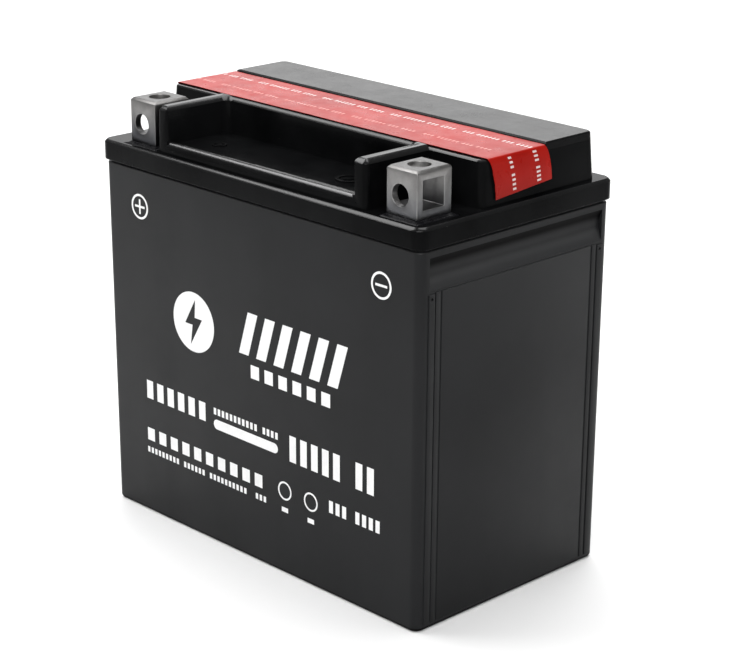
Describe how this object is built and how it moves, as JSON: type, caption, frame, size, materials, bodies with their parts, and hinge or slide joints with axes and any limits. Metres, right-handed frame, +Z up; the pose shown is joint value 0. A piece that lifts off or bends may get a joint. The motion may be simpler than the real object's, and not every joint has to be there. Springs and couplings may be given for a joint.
{
  "type": "motorcycle battery",
  "caption": "Sealed black motorcycle battery: box container, welded cover with a tray between two arms, two square lead terminals, and a red tear-off foil over its filler ports.",
  "frame": {"origin": "centre of the base, on the surface that the battery stands on", "axes": "+X along the long side towards the negative terminal, +Y from the terminal side to the back, +Z up"},
  "size_m": [0.15, 0.087, 0.145],
  "materials": {
    "case_plastic": "black polypropylene, satin, moulded",
    "cover_plastic": "black polypropylene, semi-gloss, moulded",
    "vent_plastic": "black polypropylene, satin, fine-grained",
    "foil": "red lacquered foil with white dashes",
    "terminal_lead": "bright lead alloy, machined",
    "resin": "black sealing resin, glossy",
    "valve_rubber": "black rubber, matt",
    "porous_disc": "sintered, porous, off-white",
    "positive_plates": "brown lead paste on a lead grid",
    "negative_plates": "grey lead paste on a lead grid",
    "glass_mat": "absorbent glass mat, matt",
    "weld_lead": "cast lead alloy"
  },
  "bodies": {
    "battery": {"container": "case_plastic", "cover": "cover_plastic", "vent_cover": "vent_plastic", "flame_arrestor": "porous_disc", "terminal_positive": "terminal_lead", "terminal_negative": "terminal_lead", "terminal_seal_positive": "resin", "terminal_seal_negative": "resin", "positive_group_1": "positive_plates", "positive_group_2": "positive_plates", "positive_group_3": "positive_plates", "positive_group_4": "positive_plates", "positive_group_5": "positive_plates", "positive_group_6": "positive_plates", "negative_group_1": "negative_plates", "negative_group_2": "negative_plates", "negative_group_3": "negative_plates", "negative_group_4": "negative_plates", "negative_group_5": "negative_plates", "negative_group_6": "negative_plates", "separator_1": "glass_mat", "separator_2": "glass_mat", "separator_3": "glass_mat", "separator_4": "glass_mat", "separator_5": "glass_mat", "separator_6": "glass_mat", "intercell_weld_1": "weld_lead", "intercell_weld_2": "weld_lead", "intercell_weld_3": "weld_lead", "intercell_weld_4": "weld_lead", "intercell_weld_5": "weld_lead"},
    "foil_seal": {"foil_seal": "foil"},
    "safety_valve_1": {"safety_valve_1": "valve_rubber"},
    "safety_valve_2": {"safety_valve_2": "valve_rubber"},
    "safety_valve_3": {"safety_valve_3": "valve_rubber"},
    "safety_valve_4": {"safety_valve_4": "valve_rubber"},
    "safety_valve_5": {"safety_valve_5": "valve_rubber"},
    "safety_valve_6": {"safety_valve_6": "valve_rubber"}
  },
  "joints": [
    {"name": "foil_lift", "type": "slide", "parent": "battery", "child": "foil_seal", "axis": [0, 0, 1], "range_m": [0, 0.045]},
    {"name": "valve_1_lift", "type": "slide", "parent": "battery", "child": "safety_valve_1", "axis": [0, 0, 1], "range_m": [0, 0.0005], "stiffness_N_per_m": 300, "springref_m": -0.001},
    {"name": "valve_2_lift", "type": "slide", "parent": "battery", "child": "safety_valve_2", "axis": [0, 0, 1], "range_m": [0, 0.0005], "stiffness_N_per_m": 300, "springref_m": -0.001},
    {"name": "valve_3_lift", "type": "slide", "parent": "battery", "child": "safety_valve_3", "axis": [0, 0, 1], "range_m": [0, 0.0005], "stiffness_N_per_m": 300, "springref_m": -0.001},
    {"name": "valve_4_lift", "type": "slide", "parent": "battery", "child": "safety_valve_4", "axis": [0, 0, 1], "range_m": [0, 0.0005], "stiffness_N_per_m": 300, "springref_m": -0.001},
    {"name": "valve_5_lift", "type": "slide", "parent": "battery", "child": "safety_valve_5", "axis": [0, 0, 1], "range_m": [0, 0.0005], "stiffness_N_per_m": 300, "springref_m": -0.001},
    {"name": "valve_6_lift", "type": "slide", "parent": "battery", "child": "safety_valve_6", "axis": [0, 0, 1], "range_m": [0, 0.0005], "stiffness_N_per_m": 300, "springref_m": -0.001}
  ]
}
